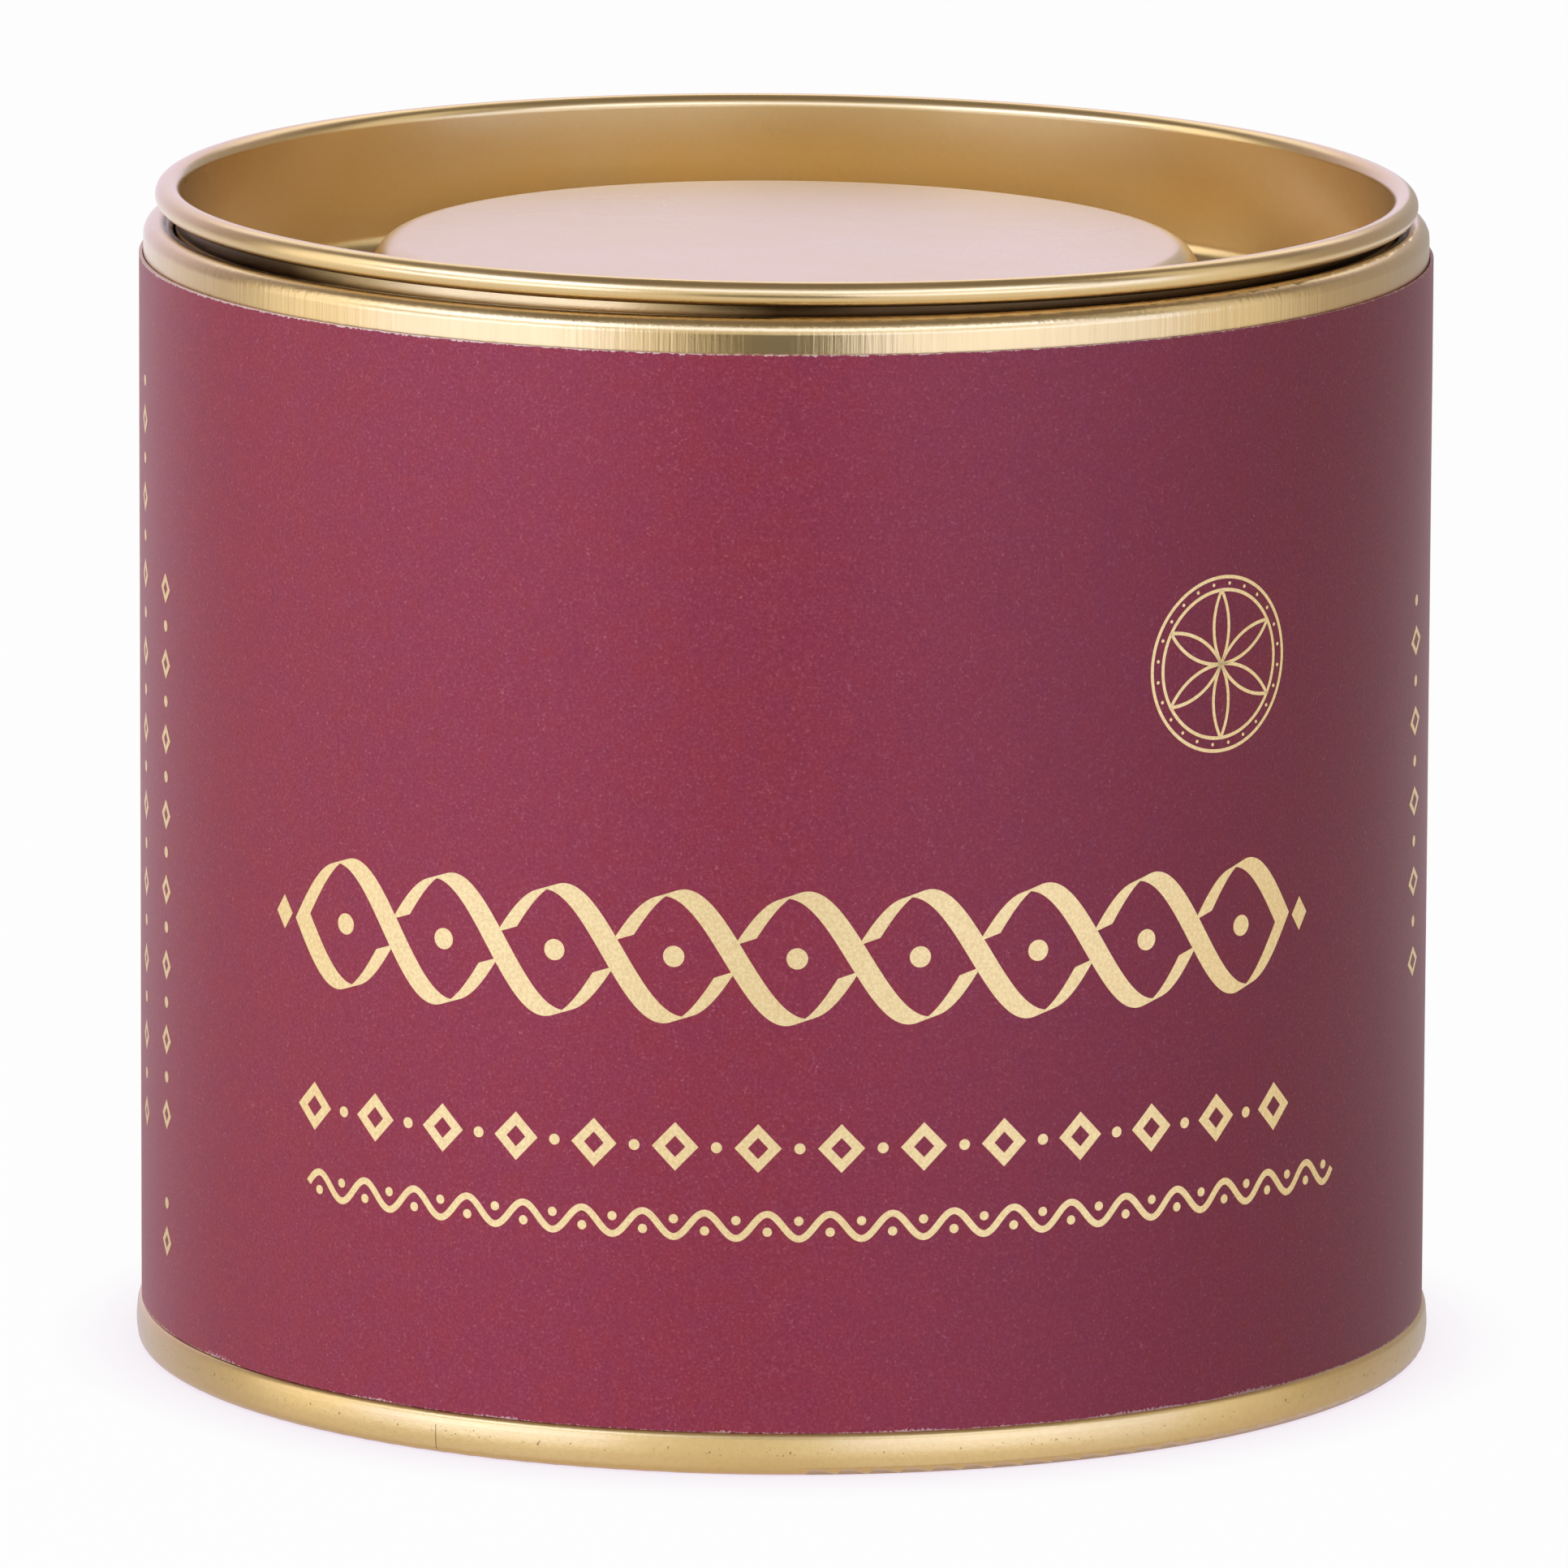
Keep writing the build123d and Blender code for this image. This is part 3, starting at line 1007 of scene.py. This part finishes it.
def stamp_side_columns(material):
    """Upright rows of small lozenges and spots towards both sides of the label."""
    columns = (                          # place, low end, high end and a lozenge's half width, in mm
        (-47.5, 15.5, 46.8, 0.85),
        (-47.5, 7.9, 10.2, 0.85),
        (-53.0, 14.6, 58.2, 0.85),
        (50.5, 24.5, 46.0, 1.3),
    )
    pitch = 2.3
    half_height = 0.9 * MM
    stroke = 0.34 * MM
    spot = 0.34 * MM
    bm = bmesh.new()
    for x, low, high, half_width in columns:
        count = max(round((high - low) / pitch), 1)
        for index in range(count + 1):
            y = low + (high - low) * index / count
            if index % 2 == 0:
                lay_lozenge(bm, x * MM, y * MM, half_width * MM, half_height, stroke)
            else:
                lay_dot(bm, x * MM, y * MM, spot)
    stamp("foil_side_columns", bm, material)


# --- stage, light and camera ----------------------------------------------------------------------


def seen_directly(tree):
    """The share 1 for what the camera, a glossy surface or a clear one sees, and 0 for other light."""
    path = add_node(tree, "ShaderNodeLightPath")
    seen = add_node(
        tree,
        "ShaderNodeMath",
        {0: path.outputs["Is Camera Ray"], 1: path.outputs["Is Glossy Ray"]},
        operation="MAXIMUM",
    )
    through = add_node(
        tree,
        "ShaderNodeMath",
        {0: seen.outputs[0], 1: path.outputs["Is Transmission Ray"]},
        operation="MAXIMUM",
    )
    return through.outputs[0]


def make_floor():
    """A white, polished table: it keeps a faint shadow, partly real and partly painted round the tin's
    foot, and the gold sees the lights again in its gloss.
    """
    table, tree = new_material("white_table")
    place = add_node(tree, "ShaderNodeTexCoord").outputs["Object"]
    share = add_node(tree, "ShaderNodeMath", {0: seen_directly(tree), 1: 0.98}, operation="MULTIPLY")
    matt = add_node(tree, "ShaderNodeBsdfDiffuse", {"Color": srgb("#F4EFF4")})
    # Painted contact shadow: ambient occlusion turns the table's glow lavender close round the tin's foot.
    nearness = add_node(tree, "ShaderNodeAmbientOcclusion", {"Distance": 6 * MM}, samples=8)
    painted_contact_shadow = add_node(
        tree,
        "ShaderNodeMix",
        {0: nearness.outputs["AO"], 6: srgb("#EEDFEC"), 7: srgb("#FFFFFF")},
        data_type="RGBA",
    )
    # The gold at both ends of the base's fold mirrors the table behind the tin, in the tin's own shadow.
    away = add_node(tree, "ShaderNodeVectorMath", {0: place, 1: (0, 60 * MM, 0)}, operation="DISTANCE")
    shade = add_node(
        tree,
        "ShaderNodeMapRange",
        {
            "Value": away.outputs["Value"],
            "From Min": 50 * MM,
            "From Max": 110 * MM,
            "To Min": 0.6,
            "To Max": 0.0,
        },
    )
    path = add_node(tree, "ShaderNodeLightPath")
    lost = add_node(
        tree,
        "ShaderNodeMath",
        {0: shade.outputs[0], 1: path.outputs["Is Glossy Ray"]},
        operation="MULTIPLY",
    )
    level = add_node(tree, "ShaderNodeMath", {0: 1.0, 1: lost.outputs[0]}, operation="SUBTRACT")
    bright = add_node(tree, "ShaderNodeEmission", {"Color": painted_contact_shadow.outputs[2], "Strength": level.outputs[0]})
    white = add_node(
        tree, "ShaderNodeMixShader", {0: share.outputs[0], 1: matt.outputs[0], 2: bright.outputs[0]}
    )
    polish = add_node(tree, "ShaderNodeBsdfGlossy", {"Color": srgb("#FFFFFF"), "Roughness": 0.08})
    grazing = add_node(tree, "ShaderNodeFresnel", {"IOR": 1.5})
    mirrored = add_node(
        tree,
        "ShaderNodeMath",
        {0: grazing.outputs[0], 1: path.outputs["Is Glossy Ray"]},
        operation="MULTIPLY",
    )
    mixed = add_node(
        tree, "ShaderNodeMixShader", {0: mirrored.outputs[0], 1: white.outputs[0], 2: polish.outputs[0]}
    )
    add_node(tree, "ShaderNodeOutputMaterial", {"Surface": mixed.outputs[0]})
    bm = bmesh.new()
    bmesh.ops.create_grid(bm, x_segments=1, y_segments=1, size=3.0)
    new_object("floor", bm, table)


def make_card(name, azimuth, distance, width, low, high, code, strength):
    """An upright card round the tin that only reflections see. Azimuth 0 is the front, 90 the right."""
    paint, tree = new_material(name)
    glow = add_node(tree, "ShaderNodeEmission", {"Color": srgb(code), "Strength": strength})
    add_node(tree, "ShaderNodeOutputMaterial", {"Surface": glow.outputs[0]})
    bm = bmesh.new()
    bmesh.ops.create_grid(bm, x_segments=1, y_segments=1, size=0.5)
    stand = Matrix.Rotation(radians(azimuth), 4, "Z") @ Matrix.Translation((0, -distance, (low + high) / 2))
    upright = Matrix.Rotation(pi / 2, 4, "X") @ Matrix.Diagonal((width, high - low, 1, 1))
    bmesh.ops.transform(bm, matrix=stand @ upright, verts=bm.verts[:])
    card = new_object(name, bm, paint)
    card.visible_camera = False
    card.visible_diffuse = False
    card.visible_shadow = False


def make_softbox(name, azimuth, elevation, distance, width, height, level):
    """A rectangular studio light that faces the tin. level is what it adds to a white card facing it."""
    light = bpy.data.lights.new(name, "AREA")
    light.shape = "RECTANGLE"
    light.size = width
    light.size_y = height
    light.energy = level * (pi * distance) ** 2
    turn = radians(azimuth)
    climb = radians(elevation)
    away = Vector((sin(turn) * cos(climb), -cos(turn) * cos(climb), sin(climb)))
    box = bpy.data.objects.new(name, light)
    box.location = away * distance
    box.rotation_euler = away.to_track_quat("Z", "Y").to_euler()
    box.visible_camera = False
    box.visible_glossy = False
    bpy.context.scene.collection.objects.link(box)


def make_surround():
    """The studio round the set: a pale backdrop behind the tin, dimmer at the sides and overhead."""
    world = bpy.data.worlds.new("studio_surround")
    world.use_nodes = True
    tree = world.node_tree
    tree.nodes.clear()
    direction = add_node(tree, "ShaderNodeTexCoord").outputs["Generated"]
    parts = add_node(tree, "ShaderNodeSeparateXYZ", {"Vector": direction})
    behind = add_node(
        tree,
        "ShaderNodeMapRange",
        {"Value": parts.outputs["Y"], "From Min": 0.2, "From Max": 0.95},
        interpolation_type="SMOOTHSTEP",
    )
    before = add_node(
        tree,
        "ShaderNodeMapRange",
        {"Value": parts.outputs["Y"], "From Min": -0.3, "From Max": -0.6},
        interpolation_type="SMOOTHSTEP",
    )
    overhead = add_node(
        tree,
        "ShaderNodeMapRange",
        {"Value": parts.outputs["Z"], "From Min": 0.55, "From Max": 0.9},
        interpolation_type="SMOOTHSTEP",
    )
    front = add_node(
        tree,
        "ShaderNodeMix",
        {0: before.outputs[0], 6: srgb("#5C5654"), 7: srgb("#F8FAFA")},
        data_type="RGBA",
    )
    around = add_node(
        tree,
        "ShaderNodeMix",
        {0: behind.outputs[0], 6: front.outputs[2], 7: srgb("#F6E9FF")},
        data_type="RGBA",
    )
    studio = add_node(
        tree,
        "ShaderNodeMix",
        {0: overhead.outputs[0], 6: around.outputs[2], 7: srgb("#8A837F")},
        data_type="RGBA",
    )
    seen = add_node(tree, "ShaderNodeBackground", {"Color": studio.outputs[2], "Strength": 1.0})
    fill = add_node(tree, "ShaderNodeBackground", {"Color": srgb("#FFFFFF"), "Strength": 0.06})
    white = add_node(tree, "ShaderNodeBackground", {"Color": srgb("#FFFFFF"), "Strength": 1.0})
    path = add_node(tree, "ShaderNodeLightPath")
    lit = add_node(
        tree,
        "ShaderNodeMixShader",
        {0: path.outputs["Is Diffuse Ray"], 1: seen.outputs[0], 2: fill.outputs[0]},
    )
    mixed = add_node(
        tree,
        "ShaderNodeMixShader",
        {0: path.outputs["Is Camera Ray"], 1: lit.outputs[0], 2: white.outputs[0]},
    )
    add_node(tree, "ShaderNodeOutputWorld", {"Surface": mixed.outputs[0]})
    bpy.context.scene.world = world


def make_lights():
    """A key light from the left and a weaker one from the front, and the faces that the gold mirrors.

    The bright faces stand for large lights at both sides of the camera. Each has a low and a high strip,
    with a gap that keeps the lid's flat centre from mirroring white from behind. The flag shades what
    the tin's right edge mirrors, and the last card is the camera's own dark shape in the gold.
    """
    make_softbox("key_softbox", -48, 25, 1.0, 0.8, 0.6, 0.52)
    make_softbox("fill_softbox", 2, 15, 1.0, 0.6, 0.4, 0.20)
    make_card("left_face", -54, 0.9, 0.85, 0.0, 0.14, "#B5C7FF", 6.3)
    make_card("left_high_face", -54, 0.9, 0.85, 0.38, 0.85, "#B5C7FF", 6.3)
    make_card("left_end_face", -91, 0.9, 0.42, 0.0, 0.85, "#FFFFFF", 1.8)
    make_card("upper_face", -8, 0.9, 0.56, 0.38, 0.80, "#B5C7FF", 3.8)
    make_card("right_face", 31, 0.9, 0.74, 0.0, 0.14, "#B5C7FF", 5.2)
    make_card("right_high_face", 31, 0.9, 0.74, 0.38, 0.74, "#B5C7FF", 5.2)
    make_card("right_low_face", 63, 0.9, 0.34, 0.0, 0.36, "#B5C7FF", 3.5)
    make_card("right_end_face", 87, 0.9, 0.40, 0.0, 1.20, "#FFFFFF", 1.1)
    make_card("high_back_face", 180, 0.9, 1.50, 0.60, 1.30, "#FFFFFF", 1.6)
    make_card("right_flag", 134, 0.3, 0.40, 0.001, 0.20, "#B4ACA8", 1.0)
    make_card("camera_shadow", -1.5, 0.12, 0.052, 0.028, 0.063, "#46423F", 1.0)


def make_camera():
    """A long lens about a metre away, looking a little down."""
    distance = 0.99355
    height = 0.2214
    downward = radians(10.73)
    slant = radians(0.25)
    data = bpy.data.cameras.new("camera")
    data.sensor_width = 36
    data.lens = 393
    data.clip_start = 0.05
    data.clip_end = 20
    camera = bpy.data.objects.new("camera", data)
    tilt = Matrix.Rotation(pi / 2 - downward, 4, "X")
    roll = Matrix.Rotation(slant, 4, "Z")
    camera.matrix_world = Matrix.Translation((0, -distance, height)) @ tilt @ roll
    bpy.context.scene.collection.objects.link(camera)
    bpy.context.scene.camera = camera


def set_material(node, material):
    """Gives a CAD node its finish."""
    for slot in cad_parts[node].material_slots:
        slot.material = material


make_floor()
make_surround()
make_lights()
make_camera()

upright_grain = (1.0, 1.0, 0.03)
sheet_grain = (1.0, 0.3, 1.0)
wall_gold = gold_lacquered_tinplate(
    "gold_lacquered_wall", "#DAB87B", "#CBA969", 0.25, upright_grain, 0.03 * MM, wall_marks
)
base_gold = gold_lacquered_tinplate(
    "gold_lacquered_base", "#DAB56F", "#CBA65E", 0.36, sheet_grain, 0.012 * MM, base_marks
)
lid_gold = gold_lacquered_tinplate(
    "gold_lacquered_lid", "#D8B678", "#D0AE6F", 0.26, sheet_grain, 0.004 * MM, lid_painted_shade
)
set_material("body_shell", wall_gold)
set_material("base_end", base_gold)
make_lid(lid_gold)
set_material("seam_compound", plain_finish("sealing_compound", "#5B5A56", "#3E3D3A", 0.4 * MM, 0.0, 0.7))
set_material("wick_sustainer", plain_finish("zinc_plated_steel", "#C9CACB", "#A9ABAE", 0.3 * MM, 1.0, 0.35))
set_material("wick_sticker", plain_finish("closed_cell_foam", "#F2F0EC", "#D6D3CD", 0.3 * MM, 0.0, 0.8))
make_wax(soy_wax())
make_wick(braided_cotton())
make_label(uncoated_label_paper())
foil = stamped_gold_foil()
stamp_guilloche(foil)
stamp_lozenge_row(foil)
stamp_festoon(foil)
stamp_rosette(foil)
stamp_side_columns(foil)

bpy.context.scene.view_settings.view_transform = "Standard"
